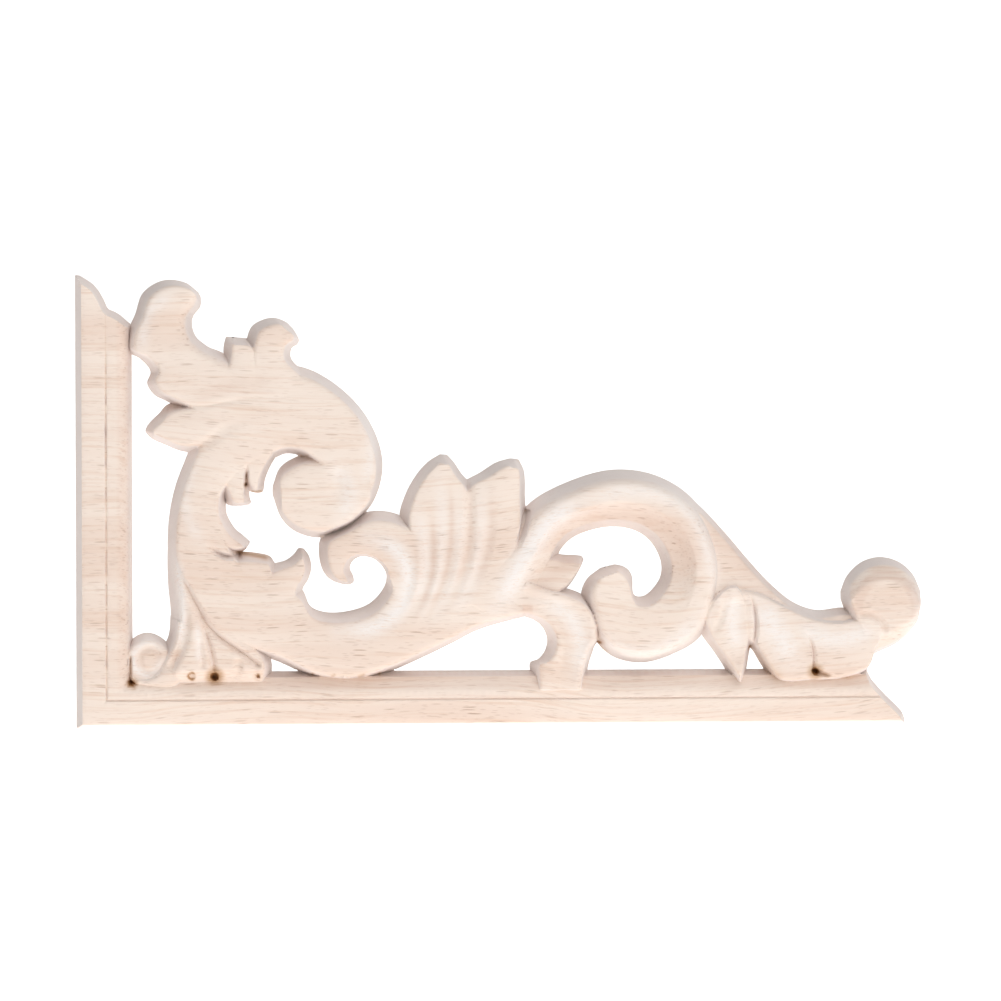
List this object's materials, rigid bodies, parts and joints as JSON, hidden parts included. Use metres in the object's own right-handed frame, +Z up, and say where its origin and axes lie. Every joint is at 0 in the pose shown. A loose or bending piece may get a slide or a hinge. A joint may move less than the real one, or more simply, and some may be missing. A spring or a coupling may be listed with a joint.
{
  "type": "wooden corner onlay",
  "caption": "Flat-backed carved wooden corner onlay: a right-angled moulding with pierced acanthus scrolls between its arms, for gluing to furniture or a panel.",
  "frame": {"origin": "on the flat back, where the centre lines of the two mouldings cross", "axes": "+X along the long moulding, +Z up along the short moulding, +Y out of the flat back, into what the onlay is glued to"},
  "size_m": [0.1499, 0.0078, 0.08],
  "materials": {
    "raw_wood": "unfinished, machine-carved rubberwood, matt, with short dark pores"
  },
  "bodies": {
    "root": {"corner_onlay": "raw_wood"}
  },
  "joints": []
}
